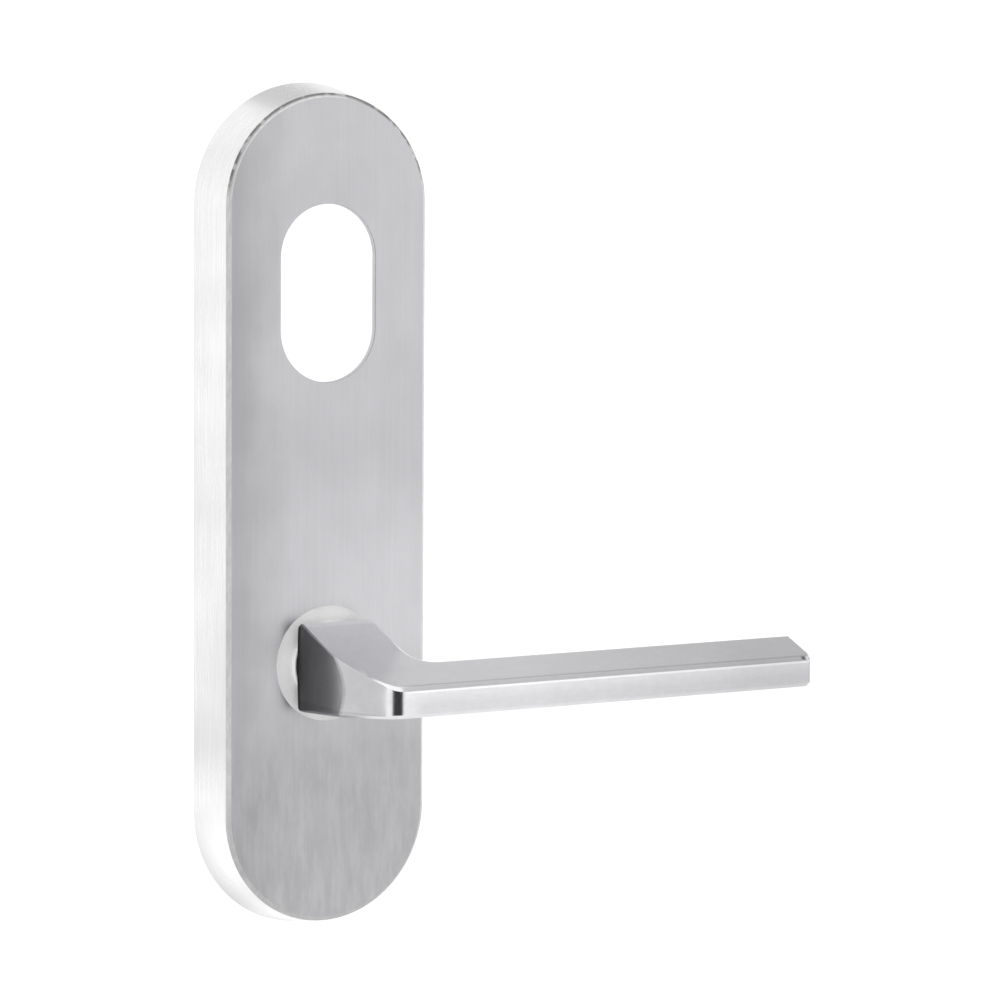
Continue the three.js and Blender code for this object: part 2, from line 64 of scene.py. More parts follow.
PLATE_Z = (COVER_LOW.z + COVER_HIGH.z) / 2
PLATE_FRONT_Y = COVER_LOW.y
PLATE_RIM_Y = COVER_HIGH.y
PLATE_DRAFT = 2.4 * MM  # how much further out the rim is than the front face
PLATE_W = COVER_HIGH.x - COVER_LOW.x - 2 * PLATE_DRAFT
PLATE_H = COVER_HIGH.z - COVER_LOW.z - 2 * PLATE_DRAFT
PLATE_WALL = 1.8 * MM
PLATE_CHAMFER = 1.1 * MM
ARC_Z = (PLATE_H - PLATE_W) / 2  # from the plate's middle to the centres of its round ends
UPPER_ARC_Z = PLATE_Z + ARC_Z
LOWER_ARC_Z = PLATE_Z - ARC_Z

OPENING_W = 28.4 * MM
OPENING_H = 47.4 * MM
OPENING_Z = PLATE_Z + 58 * MM
BORE_R = 13.5 * MM

RING_INNER_R = 10.5 * MM
RING_LIP_R = 11.2 * MM
RING_SEAT_R = 13.2 * MM  # where the ring goes through the plate's bore
RING_R = 15.5 * MM

NECK_BACK_Y = PLATE_FRONT_Y - 5 * MM
NECK_HALF_W = -LEVER_LOW.x
NECK_HALF_H = LEVER_HIGH.z
NECK_TAPER = 0.4 * MM  # how far each side of the neck draws in on its way out to the grip
GRIP_FRONT_Y = LEVER_LOW.y
GRIP_BACK_Y = PLATE_FRONT_Y - 29.2 * MM
TIP_X = LEVER_HIGH.x
TOP_SLOPE = 0.365  # fall of the lever's top face for each metre outwards
BOTTOM_SLOPE = 0.062  # rise of its bottom face

# Width and drop, in mm, of the bevel along each part of the lever's outline.
TOP_BEVEL = {
    "inside": (0.8, 0.3),
    "end": (0.5, 0.5),
    "front": (0.85, 0.8),
    "corner": (0.8, 0.8),
    "left": (0.8, 0.35),
    "back": (2.4, 0.12),
}
LOW_BEVEL = {
    "inside": (0.5, 0.5),
    "end": (0.7, 0.7),
    "front": (0.9, 1.1),
    "corner": (0.8, 1.0),
    "left": (0.7, 0.8),
    "back": (0.4, 0.4),
}


def out(distance_mm):
    """The y of a plane in front of the plate's front face."""
    return PLATE_FRONT_Y - distance_mm * MM


def lever_top(y):
    return NECK_HALF_H - TOP_SLOPE * (NECK_BACK_Y - y)


def lever_bottom(y):
    return -NECK_HALF_H + BOTTOM_SLOPE * (NECK_BACK_Y - y)


# ---- node helpers -------------------------------------------------------------------------------


class Nodes:
    """Short calls for building one material's node tree.

    A mask is a value from 0 to 1, and a tone is what a colour is multiplied by.
    """

    def __init__(self, name):
        self.material = bpy.data.materials.new(name)
        self.material.use_nodes = True
        self.tree = self.material.node_tree
        self.tree.nodes.clear()
        self.output = self.tree.nodes.new("ShaderNodeOutputMaterial")
        self.shader = self.tree.nodes.new("ShaderNodeBsdfPrincipled")
        self.link(self.shader.outputs[0], self.output.inputs["Surface"])
        self.place = self.tree.nodes.new("ShaderNodeTexCoord").outputs["Object"]

    def link(self, source, target):
        self.tree.links.new(source, target)

    def set(self, **values):
        """Constants of the shader, by the names of its inputs."""
        for name, value in values.items():
            self.shader.inputs[name.replace("_", " ")].default_value = value

    def colour(self, source):
        self.link(source, self.shader.inputs["Base Color"])

    def roughness(self, source):
        self.link(source, self.shader.inputs["Roughness"])

    def bump(self, height, strength, depth):
        node = self.tree.nodes.new("ShaderNodeBump")
        node.inputs["Strength"].default_value = strength
        node.inputs["Distance"].default_value = depth
        self.link(height, node.inputs["Height"])
        self.link(node.outputs[0], self.shader.inputs["Normal"])

    def grain_along(self, direction):
        """Turns the stretch of an anisotropic reflection to lie along one axis of the object."""
        tangent = self.tree.nodes.new("ShaderNodeCombineXYZ")
        for socket, value in zip(tangent.inputs, direction):
            socket.default_value = value
        self.link(tangent.outputs[0], self.shader.inputs["Tangent"])

    # Where a point is, and the noises laid over it.

    def axes(self):
        """The three object coordinates, each on its own."""
        node = self.tree.nodes.new("ShaderNodeSeparateXYZ")
        self.link(self.place, node.inputs[0])
        return node.outputs["X"], node.outputs["Y"], node.outputs["Z"]

    def spindle_radius(self):
        """The distance from the spindle's axis."""
        x, _, z = self.axes()
        squares = self.math("ADD", self.math("MULTIPLY", x, x), self.math("MULTIPLY", z, z))
        return self.math("SQRT", squares, 0.0)

    def scaled(self, scale):
        """Object coordinates stretched by a scale for each axis."""
        node = self.tree.nodes.new("ShaderNodeMapping")
        node.inputs["Scale"].default_value = scale
        self.link(self.place, node.inputs["Vector"])
        return node.outputs[0]

    def noise(self, scale, detail=2.0, roughness=0.5):
        """Noise with so many features to the metre along each axis."""
        node = self.tree.nodes.new("ShaderNodeTexNoise")
        node.inputs["Scale"].default_value = 1.0
        node.inputs["Detail"].default_value = detail
        node.inputs["Roughness"].default_value = roughness
        self.link(self.scaled(scale), node.inputs["Vector"])
        return node.outputs["Fac"]

    def turned_rings(self, per_metre):
        """Noise that changes only with the distance from the spindle's axis."""
        node = self.tree.nodes.new("ShaderNodeTexNoise")
        node.noise_dimensions = "1D"
        node.inputs["Scale"].default_value = per_metre
        node.inputs["Detail"].default_value = 3
        self.link(self.spindle_radius(), node.inputs["W"])
        return node.outputs["Fac"]

    def edges(self, radius):
        """0 on open faces, rising to 1 on sharp outside edges, where a finish wears, and where
        some materials paint a highlight.
        """
        worn_least, worn_most = 0.02, 0.25  # how far the rounded normal leans from the true one
        rounded_normal = self.tree.nodes.new("ShaderNodeBevel")
        rounded_normal.samples = 4
        rounded_normal.inputs["Radius"].default_value = radius
        geometry = self.tree.nodes.new("ShaderNodeNewGeometry")
        dot = self.tree.nodes.new("ShaderNodeVectorMath")
        dot.operation = "DOT_PRODUCT"
        self.link(rounded_normal.outputs[0], dot.inputs[0])
        self.link(geometry.outputs["Normal"], dot.inputs[1])
        return self.rise(self.math("SUBTRACT", 1.0, dot.outputs["Value"]), worn_least, worn_most)

    # Arithmetic on values.

    def math(self, operation, a, b):
        node = self.tree.nodes.new("ShaderNodeMath")
        node.operation = operation
        for socket, value in zip(node.inputs, (a, b)):
            if isinstance(value, (int, float)):
                socket.default_value = value
            else:
                self.link(value, socket)
        return node.outputs[0]

    def product(self, *values):
        result = values[0]
        for value in values[1:]:
            result = self.math("MULTIPLY", result, value)
        return result

    def mixed(self, first, second, share):
        """A share of the first value and the rest of the second."""
        parts = self.product(first, share), self.product(second, 1 - share)
        return self.math("ADD", *parts)

    def drifted(self, source, noise, reach):
        """A coordinate moved about by a noise, by up to half the reach either way."""
        return self.math("ADD", source, self.product(self.math("SUBTRACT", noise, 0.5), reach))

    def remap(self, source, start, end, at_start, at_end):
        """Runs straight from one value at the start to another at the end, and level beyond."""
        node = self.tree.nodes.new("ShaderNodeMapRange")
        names = ("From Min", "From Max", "To Min", "To Max")
        for name, value in zip(names, (start, end, at_start, at_end)):
            node.inputs[name].default_value = value
        self.link(source, node.inputs["Value"])
        return node.outputs["Result"]

    def spread(self, noise, at_low=0.0, at_high=1.0, reach=0.2):
        """Stretches a noise from one value to another, over its reach either side of 0.5."""
        return self.remap(noise, 0.5 - reach, 0.5 + reach, at_low, at_high)

    def rise(self, source, start, end):
        """A mask that is 0 at the start and 1 from the end on."""
        return self.remap(source, start, end, 0.0, 1.0)

    def fade(self, source, start, end, tone):
        """1 at the start, and a tone from the end on."""
        return self.remap(source, start, end, 1.0, tone)

    def toned(self, mask, tone):
        """1 where a mask is 0, and a tone where it is 1."""
        return self.fade(mask, 0.0, 1.0, tone)

    def within(self, source, low, high, soft):
        """A mask that is 1 between low and high and falls to 0 over a soft edge outside them."""
        rising = self.rise(source, low - soft, low)
        falling = self.fade(source, high, high + soft, 0.0)
        return self.math("MINIMUM", rising, falling)

    # Arithmetic on colours.

    def blend(self, mask, colour_a, colour_b):
        """The first colour where a mask is 0, and the second where it is 1."""
        node = self.tree.nodes.new("ShaderNodeMix")
        node.data_type = "RGBA"
        self.link(mask, node.inputs["Factor"])
        for socket, value in ((node.inputs["A"], colour_a), (node.inputs["B"], colour_b)):
            if isinstance(value, tuple):
                socket.default_value = (*value, 1.0)
            else:
                self.link(value, socket)
        return node.outputs["Result"]

    def darkened(self, colour, tone):
        node = self.tree.nodes.new("ShaderNodeVectorMath")
        node.operation = "SCALE"
        self.link(colour, node.inputs[0])
        self.link(tone, node.inputs["Scale"])
        return node.outputs[0]


def grey(value, tint=(0.0, 0.0, 0.0)):
    """A near-neutral colour."""
    return tuple(value + t for t in tint)


# ---- materials ----------------------------------------------------------------------------------


def brushed_face_metal():
    """Stainless steel brushed up and down, with faint clouds from handling, under painted shade
    and a painted highlight.
    """
    n = Nodes("brushed_face_metal")
    tint = (0.002, 0, 0.02)
    streaks = n.noise((5200, 900, 22), detail=3, roughness=0.65)
    fine = n.noise((16000, 3000, 110), detail=2)
    clouds = n.noise((38, 38, 24), detail=4, roughness=0.6)
    grain = n.mixed(streaks, fine, 0.6)
    tone = n.mixed(grain, clouds, 0.5)
    steel = n.blend(n.spread(tone), grey(0.485, tint), grey(0.585, tint))
    # painted shade and a painted highlight laid over the steel's colour
    n.colour(n.darkened(steel, face_painted_shade(n, clouds)))
    n.roughness(n.spread(tone, 0.5, 0.4, reach=0.25))
    n.set(Metallic=0.94, Anisotropic=0.4)
    n.grain_along((0, 0, 1))
    n.bump(grain, strength=0.22, depth=0.06 * MM)
    return n.material


def face_painted_shade(n, clouds):
    """How bright the face is: painted shade down its left side, under the lever and at its lower
    left end, smears at its lower end, and a painted highlight just above the lever."""
    x, _, z = n.axes()
    x = n.drifted(x, clouds, 12 * MM)
    z = n.drifted(z, clouds, 12 * MM)
    # painted shade on the left and low, and a painted highlight above the lever
    left = n.fade(x, -12 * MM, -26 * MM, 0.76)
    low = n.fade(z, 6 * MM, -24 * MM, 0.77)
    above_lever = n.fade(z, 55 * MM, 28 * MM, 1.09)
    lower_end = n.rise(z, -8 * MM, -34 * MM)
    lower_left = n.product(lower_end, n.rise(x, -6 * MM, -28 * MM))
    smears = n.spread(n.noise((420, 420, 90), detail=4, roughness=0.7), -0.09, 0.09)
    smeared = n.math("ADD", 1.0, n.product(smears, lower_end))
    painted_shade_tone = n.math("MINIMUM", left, low)
    return n.product(painted_shade_tone, above_lever, smeared, n.toned(lower_left, 0.88))


def chamfer_metal():
    """The chamfer round the face: lighter than the face, with a painted highlight along its inner
    arris.
    """
    n = Nodes("chamfer_metal")
    streaks = n.noise((900, 900, 300), detail=3, roughness=0.65)
    _, y, _ = n.axes()
    depth = n.rise(y, PLATE_FRONT_Y, PLATE_FRONT_Y + PLATE_CHAMFER)
    steel = n.blend(n.spread(streaks), grey(0.60), grey(0.72))
    # a painted highlight along the chamfer's inner arris
    worn_and_highlit = n.product(n.edges(0.35 * MM), n.fade(depth, 0.0, 0.35, 0.0))
    n.colour(n.darkened(n.blend(worn_and_highlit, steel, grey(0.95)), chamfer_painted_shade(n, depth)))
    n.roughness(n.spread(streaks, 0.56, 0.44))
    n.set(Metallic=0.75)
    n.bump(streaks, strength=0.15, depth=0.06 * MM)
    return n.material


def chamfer_painted_shade(n, depth):
    """How bright the chamfer is: painted shade round its lower end and round its upper end, where
    a broken line of painted shade runs along its outer half and across its right side. A depth of
    0 is the face and 1 is the band."""
    x, _, z = n.axes()
    # painted shade round both ends, and a broken line of painted shade
    lower_end = n.fade(z, LOWER_ARC_Z + 6 * MM, LOWER_ARC_Z - 14 * MM, 0.68)
    upper_end = n.rise(z, UPPER_ARC_Z + 2 * MM, UPPER_ARC_Z + 9 * MM)
    shaded = n.product(upper_end, n.rise(depth, 0.2, 0.35))
    outer_half = n.rise(depth, 0.45, 0.6)
    right = n.rise(x, 4 * MM, 14 * MM)
    broken = n.rise(n.noise((300, 300, 300), detail=3), 0.42, 0.5)
    broken_shade_line = n.product(upper_end, n.math("MAXIMUM", outer_half, right), broken)
    return n.product(lower_end, n.toned(shaded, 0.74), n.toned(broken_shade_line, 0.42))


def linished_band_metal():
    """The plate's side band: brighter, with slight flats where it was linished by hand."""
    n = Nodes("linished_band_metal")
    streaks = n.noise((300, 2400, 60), detail=3, roughness=0.6)
    flats = n.noise((60, 12, 34), detail=1)
    tone = n.mixed(streaks, flats, 0.3)
    steel = n.blend(n.spread(tone, reach=0.12), grey(0.80), grey(0.97))
    # painted shade laid over the band's colour
    n.colour(n.darkened(steel, band_painted_shade(n)))
    n.roughness(n.spread(tone, 0.34, 0.22))
    n.set(Metallic=1.0)
    n.bump(tone, strength=0.2, depth=0.4 * MM)
    return n.material


def band_painted_shade(n):
    """How bright the band is: a little painted shade round its upper end, and painted shade along
    its rim at the door, more round its lower end."""
    _, y, z = n.axes()
    # painted shade along the rim, round the upper end, and towards the rim at the lower end
    rim = n.fade(y, PLATE_RIM_Y - 0.5 * MM, PLATE_RIM_Y - 0.2 * MM, 0.6)
    upper_end = n.fade(z, UPPER_ARC_Z, UPPER_ARC_Z + 15 * MM, 0.86)
    towards_rim = n.rise(y, PLATE_RIM_Y - 10 * MM, PLATE_RIM_Y - 0.5 * MM)
    lower_end = n.rise(z, LOWER_ARC_Z + 5 * MM, LOWER_ARC_Z - 12 * MM)
    return n.product(rim, upper_end, n.toned(n.product(towards_rim, lower_end), 0.74))


def satin_lever_metal():
    """Satin chrome on a casting: smooth, faintly wavy, with a painted highlight on its rubbed
    edges.
    """
    n = Nodes("satin_lever_metal")
    dark, light = grey(0.75, (0.004, 0, 0.016)), grey(0.84, (0.002, 0, 0.024))
    waves = n.noise((70, 70, 70), detail=2)
    mottle = n.noise((420, 420, 420), detail=4, roughness=0.6)
    polish = n.noise((240, 2600, 3600), detail=3, roughness=0.6)
    tone = n.mixed(mottle, polish, 0.5)
    # edges rubbed smoother, and made lighter as a painted highlight
    worn_and_highlit = n.edges(0.6 * MM)
    chrome = n.blend(worn_and_highlit, n.blend(n.spread(tone), dark, light), grey(0.92))
    # painted shade and painted highlights over the chrome, with a dark spot at the tip
    tones = n.product(lever_tone_and_shade(n), crest_painted_lines(n), tip_tone(n), neck_painted_light(n))
    n.colour(n.darkened(chrome, tones))
    rough = n.spread(tone, 0.26, 0.16, reach=0.25)
    n.roughness(n.math("SUBTRACT", rough, n.product(worn_and_highlit, 0.04)))
    n.set(Metallic=1.0)
    n.bump(n.mixed(waves, polish, 0.9), strength=0.35, depth=0.25 * MM)
    return n.material


def lever_tone_and_shade(n):
    """How bright the lever is: darker towards its tip, and painted shade on the bevel under it and
    low on its front."""
    x, _, z = n.axes()
    bevel_z = -8.6 * MM
    towards_tip = n.drifted(x, n.noise((45, 45, 45), detail=3), 30 * MM)
    tip = n.fade(towards_tip, 40 * MM, 115 * MM, 0.78)
    # painted shade on the low bevel and low on the grip's front
    low_bevel = n.fade(z, bevel_z, bevel_z - 0.4 * MM, 0.88)
    above_bevel = n.rise(z, bevel_z - 0.4 * MM, bevel_z)
    low = n.within(z, bevel_z, bevel_z + 2.1 * MM, 6 * MM)
    on_grip = n.rise(x, -2 * MM, 6 * MM)
    front = n.toned(n.product(low, above_bevel, on_grip), 0.8)
    return n.product(tip, low_bevel, front)


def crest_painted_lines(n):
    """The two thin painted lines along the grip: painted shade where the top face ends at its
    bevel, and a painted highlight where that bevel meets the front."""
    x, y, z = n.axes()
    bevel_w, bevel_drop = (size * MM for size in TOP_BEVEL["front"])
    crease_z = lever_top(GRIP_FRONT_Y + bevel_w)
    crest_z = lever_top(GRIP_FRONT_Y) - bevel_drop
    at_front = n.fade(y, GRIP_FRONT_Y + 2.0 * MM, GRIP_FRONT_Y + 2.6 * MM, 0.0)
    grip_front = n.product(at_front, n.rise(x, -1 * MM, 4 * MM))
    # painted shade along the crease, and a painted highlight along the crest
    crease_shade = n.product(n.within(z, crease_z, crease_z + 0.25 * MM, 0.1 * MM), grip_front)
    crest_highlight = n.product(n.within(z, crest_z - 0.45 * MM, crest_z, 0.15 * MM), grip_front)
    return n.product(n.toned(crease_shade, 0.8), n.toned(crest_highlight, 1.2))


def tip_tone(n):
    """The rounded end of the grip: a line of painted shade where its rounding starts, and a small
    dark spot at the upper corner."""
    x, y, z = n.axes()
    at_front = n.fade(y, GRIP_FRONT_Y + 1.6 * MM, GRIP_FRONT_Y + 2.2 * MM, 0.0)
    # painted shade along the start of the tip's rounding
    line = n.product(n.within(x, TIP_X - 1.35 * MM, TIP_X - 1.15 * MM, 0.12 * MM), at_front)
    spot_z = lever_top(GRIP_FRONT_Y + 0.7 * TOP_BEVEL["front"][0] * MM)
    spot_across = n.within(x, TIP_X - 3.4 * MM, TIP_X - 2.8 * MM, 0.5 * MM)
    spot_up = n.within(z, spot_z - 0.5 * MM, spot_z, 0.3 * MM)
    dark_spot = n.product(spot_across, spot_up, at_front)
    return n.product(n.toned(line, 0.6), n.toned(dark_spot, 0.3))


def neck_painted_light(n):
    """Painted shade on the neck's left side, darkest next to the plate, and a painted highlight on
    the neck near the plate, brightest on the narrow land next to the ring."""
    x, y, z = n.axes()
    # painted highlight near the plate
    painted_highlight = n.fade(y, NECK_BACK_Y - 28 * MM, NECK_BACK_Y - 6 * MM, 1.1)
    # painted shade on the left side, darkest next to the plate
    left_side = n.rise(x, -10.05 * MM, -10.35 * MM)
    painted_shade_ramp = n.remap(y, NECK_BACK_Y - 3 * MM, NECK_BACK_Y - 23 * MM, 0.34, 0.8)
    side = n.math("SUBTRACT", 1.0, n.product(left_side, n.math("SUBTRACT", 1.0, painted_shade_ramp)))
    # painted highlight on the narrow land next to the ring
    near_ring = n.rise(y, NECK_BACK_Y - 2.5 * MM, NECK_BACK_Y - 2.3 * MM)
    on_land = n.product(near_ring, n.rise(z, 8 * MM, 9 * MM))
    return n.product(side, painted_highlight, n.toned(on_land, 1.1))


def turned_metal(name, dark, light, roughness):
    """Lathe-turned steel, with fine rings about the spindle's axis."""
    n = Nodes(name)
    rings = n.turned_rings(5200)
    spots = n.noise((500, 500, 500), detail=3)
    tone = n.mixed(rings, spots, 0.7)
    n.colour(n.blend(n.spread(tone), grey(dark), grey(light)))
    n.roughness(n.spread(tone, roughness + 0.05, roughness - 0.05))
    n.set(Metallic=1.0)
    n.bump(rings, strength=0.12, depth=0.05 * MM)
    return n.material


def plated_metal(name, dark, light, roughness, tint=(0, 0, 0)):
    """Pressed or cast metal under zinc: mottled, with wear along its edges."""
    n = Nodes(name)
    mottle = n.noise((260, 260, 260), detail=5, roughness=0.65)
    rolled = n.noise((30, 400, 1800), detail=2)
    tone = n.mixed(mottle, rolled, 0.7)
    worn_grey = min(light + 0.15, 0.95)
    metal = n.blend(n.spread(tone), grey(dark, tint), grey(light, tint))
    n.colour(n.blend(n.edges(0.4 * MM), metal, grey(worn_grey)))
    n.roughness(n.spread(tone, roughness + 0.08, roughness - 0.08))
    n.set(Metallic=1.0)
    n.bump(mottle, strength=0.2, depth=0.08 * MM)
    return n.material


def moulded_nylon():
    """Black moulded nylon with a fine sparked texture."""
    n = Nodes("moulded_nylon")
    spark = n.noise((3000, 3000, 3000), detail=3, roughness=0.7)
    n.colour(n.blend(spark, grey(0.006), grey(0.016)))
    n.roughness(n.spread(spark, 0.62, 0.45))
    n.bump(spark, strength=0.3, depth=0.04 * MM)
    return n.material


def pale_nylon():
    """Pale grey moulded nylon, with faint flow clouds and a fine grain, and a painted highlight
    brightening it towards the neck."""
    n = Nodes("pale_nylon")
    flow = n.noise((180, 180, 180), detail=3)
    grain = n.noise((2600, 2600, 2600), detail=2)
    tone = n.mixed(flow, grain, 0.7)
    nylon = n.blend(n.spread(tone), grey(0.60), grey(0.68))
    # painted highlight, brighter towards the lip
    painted_highlight = n.fade(n.spindle_radius(), RING_R, RING_LIP_R, 1.35)
    n.colour(n.darkened(nylon, painted_highlight))
    n.roughness(n.spread(tone, 0.5, 0.38))
    n.bump(grain, strength=0.15, depth=0.04 * MM)
    return n.material


def floor_paint():
    """Pale matt paint."""
    n = Nodes("floor_paint")
    cloud = n.noise((2, 2, 2), detail=3)
    n.colour(n.blend(cloud, grey(0.93), grey(0.96)))
    n.set(Roughness=0.9)
    return n.material


def card_paper(name, glow):
    """Paper with an even white glow, in place of the shader."""
    n = Nodes(name)
    n.tree.nodes.remove(n.shader)
    emission = n.tree.nodes.new("ShaderNodeEmission")
    emission.inputs["Color"].default_value = (1.0, 1.0, 1.0, 1.0)
    emission.inputs["Strength"].default_value = glow
    n.link(emission.outputs[0], n.output.inputs["Surface"])
    return n.material


FACE_METAL = brushed_face_metal()
CHAMFER_METAL = chamfer_metal()
BAND_METAL = linished_band_metal()
LEVER_METAL = satin_lever_metal()
WASHER_METAL = turned_metal("turned_washer_metal", 0.52, 0.68, 0.3)
ZINC_METAL = plated_metal("zinc_sheet_metal", 0.42, 0.60, 0.36, (0, 0.004, 0.008))
SCREW_METAL = plated_metal("zinc_screw_metal", 0.46, 0.66, 0.3, (0, 0.004, 0.01))
CAST_METAL = plated_metal("cast_zinc_metal", 0.38, 0.52, 0.48)
SPRING_METAL = plated_metal("spring_steel_metal", 0.10, 0.20, 0.34)
NYLON = moulded_nylon()
PALE_NYLON = pale_nylon()


# ---- mesh helpers -------------------------------------------------------------------------------


def new_object(name, bm, materials):
    """Turns a bmesh into a linked object with outward faces."""
    bmesh.ops.recalc_face_normals(bm, faces=bm.faces)
    mesh = bpy.data.meshes.new(name)
    bm.to_mesh(mesh)
    bm.free()
    for material in materials:
        mesh.materials.append(material)
    made = bpy.data.objects.new(name, mesh)
    bpy.context.scene.collection.objects.link(made)
    return made


def smooth(obj, degrees):
    """Shades an object smooth, except at edges sharper than an angle."""
    for polygon in obj.data.polygons:
        polygon.use_smooth = True
    obj.data.set_sharp_from_angle(angle=math.radians(degrees))


def bevel(obj, width, segments, degrees):
    """Rounds the edges that are sharper than an angle."""
    made = obj.modifiers.new("bevel", "BEVEL")
    made.width = width
    made.segments = segments
    made.limit_method = "ANGLE"
    made.angle_limit = math.radians(degrees)
    made.harden_normals = True
    made.miter_outer = "MITER_ARC"


def cut(obj, cutter):
    """Takes one object away from another and deletes the cutter."""
    boolean = obj.modifiers.new("cut", "BOOLEAN")
    boolean.operation = "DIFFERENCE"
    boolean.solver = "EXACT"
    boolean.object = cutter
    depsgraph = bpy.context.evaluated_depsgraph_get()
    mesh = bpy.data.meshes.new_from_object(obj.evaluated_get(depsgraph))
    obj.modifiers.clear()
    obj.data = mesh
    bpy.data.objects.remove(cutter)


def stadium(width, height, z, steps):
    """Points round an upright outline with round ends, as (x, z), anticlockwise from the right."""
    r = width / 2
    straight = height / 2 - r
    points = []
    for centre_z, start in ((z + straight, 0.0), (z - straight, math.pi)):
        for i in range(steps + 1):
            angle = start + math.pi * i / steps
            points.append((r * math.cos(angle), centre_z + r * math.sin(angle)))
    return points


def circle(radius, steps):
    """Points round the spindle's axis, as (x, z)."""
    angles = [2 * math.pi * i / steps for i in range(steps)]
    return [(radius * math.cos(angle), radius * math.sin(angle)) for angle in angles]


def curve_points(p0, p1, p2, p3, steps):
    """Points along a cubic curve in a plane, without its first."""
    points = []
    for i in range(1, steps + 1):
        t = i / steps
        s = 1 - t
        weights = (s**3, 3 * s * s * t, 3 * s * t * t, t**3)
        pairs = list(zip(weights, (p0, p1, p2, p3)))
        points.append(tuple(sum(w * p[axis] for w, p in pairs) for axis in (0, 1)))
    return points


def lofted(layers):
    """A bmesh skin over rings of (x, y, z) points with the same count, capped at both ends."""
    bm = bmesh.new()
    rings = [[bm.verts.new(p) for p in layer] for layer in layers]
    count = len(rings[0])
    for lower, upper in zip(rings, rings[1:]):
        for i in range(count):
            j = (i + 1) % count
            bm.faces.new((lower[i], lower[j], upper[j], upper[i]))
    bm.faces.new(rings[0])
    bm.faces.new(list(reversed(rings[-1])))
    return bm


def prism(name, outline, back_y, front_y):
    """A solid with an outline of (x, z) points, from one depth to another."""
    layers = [[(x, y, z) for x, z in outline] for y in (back_y, front_y)]
    return new_object(name, lofted(layers), [])


def turned(name, profile, material, steps):
    """A closed profile of (radius, y) points turned about the spindle's axis."""
    bm = bmesh.new()
    rings = []
    for i in range(steps):
        angle = 2 * math.pi * i / steps
        points = [(r * math.cos(angle), y, r * math.sin(angle)) for r, y in profile]
        rings.append([bm.verts.new(p) for p in points])
    for i in range(steps):
        here, there = rings[i], rings[(i + 1) % steps]
        for k in range(len(profile)):
            m = (k + 1) % len(profile)
            bm.faces.new((here[k], here[m], there[m], there[k]))
    made = new_object(name, bm, [material])
    smooth(made, 35)
    return made


# ---- the plate ----------------------------------------------------------------------------------

PLATE_ARC_STEPS = 96
OPENING_ARC_STEPS = 64
BORE_STEPS = 96


def plate_layer(y, offset):
    """The plate's outline at a depth, set out from the outline of its front face."""
    outline = stadium(PLATE_W + 2 * offset, PLATE_H + 2 * offset, PLATE_Z, PLATE_ARC_STEPS)
    return [(x, y, z) for x, z in outline]


def draft_at(y):
    """How far the side band stands out from the front outline at a depth."""
    return PLATE_DRAFT * (1 - y / (PLATE_FRONT_Y + PLATE_CHAMFER))


def cover_layers():
    """The outside of the cover, from its rim over the chamfer to the front face."""
    rim_round = 0.25 * MM
    return [
        plate_layer(PLATE_RIM_Y, PLATE_DRAFT - rim_round),
        plate_layer(PLATE_RIM_Y - rim_round, PLATE_DRAFT),
        plate_layer(PLATE_FRONT_Y + PLATE_CHAMFER, 0),
        plate_layer(PLATE_FRONT_Y, -PLATE_CHAMFER),
    ]


def hollow_layers(back_y):
    """The inside of the cover, one wall in from its band and its front face."""
    front_y = PLATE_FRONT_Y + PLATE_WALL
    return [plate_layer(y, draft_at(y) - PLATE_WALL) for y in (back_y, front_y)]


def on_band(point):
    """True on the outside of the plate, not in its openings or its hollow."""
    beyond = max(abs(point.z - PLATE_Z) - ARC_Z, 0.0)
    return math.hypot(point.x, beyond) > PLATE_W / 2 - PLATE_WALL / 2


def paint_cover(cover):
    """Gives the cover's outside its three finishes, told apart by which way the faces look."""
    face, band, chamfer = range(3)
    for material in (FACE_METAL, BAND_METAL, CHAMFER_METAL):
        cover.data.materials.append(material)
    for polygon in cover.data.polygons:
        facing_front = abs(polygon.normal.y)
        if not on_band(polygon.center) or facing_front >= 0.9:
            polygon.material_index = face
        else:
            polygon.material_index = band if facing_front < 0.5 else chamfer


def make_cover():
    """The hollow cover: drafted band, chamfered front edge, oval opening and lever bore."""
    past = 2 * MM  # how far the cutters go past the faces they cut
    front_y = PLATE_FRONT_Y - past
    opening = stadium(OPENING_W, OPENING_H, OPENING_Z, OPENING_ARC_STEPS)
    cover = new_object("cover_visual", lofted(cover_layers()), [])
    cut(cover, new_object("hollow", lofted(hollow_layers(past)), []))
    cut(cover, prism("opening", opening, 0, front_y))
    cut(cover, prism("bore", circle(BORE_R, BORE_STEPS), 0, front_y))
    paint_cover(cover)
    bevel(cover, width=0.18 * MM, segments=2, degrees=60)
    smooth(cover, 30)
    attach(cover, PLATE_BODY)
    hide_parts("cover_plate")


# ---- the lever ----------------------------------------------------------------------------------

LEVER_ROWS = 10  # steps up the lever's sides
SWEEP_START = (NECK_HALF_W - NECK_TAPER, out(19))  # where the neck starts to turn into the grip
SWEEP_END = (18.5 * MM, GRIP_BACK_Y)
TIP_ROUND = 2.5 * MM
CORNER_START = (1.8 * MM, GRIP_FRONT_Y)  # where the front rounds into the facet on its left
FACET_START = (-4.2 * MM, out(39.2))


def neck_turn(share):
    """Where the neck's left side turns into the facet, in mm out from the plate, at a share of the
    way up that side: furthest out at mid-height, and pulled in at the top."""
    at_bottom, bow, pulled_in = 25.5, 2.5, 3
    return at_bottom + bow * math.sin(math.pi * share) - pulled_in * share**8


def turned_in(distance):
    """How far the lever's top face draws back from its left side, in mm, at a distance in mm out
    from the plate."""
    start, length, least, swell = 5, 31, 0.6, 1.6
    along = min(max((distance - start) / length, 0.0), 1.0)
    return least + swell * math.sin(math.pi * along**1.2)


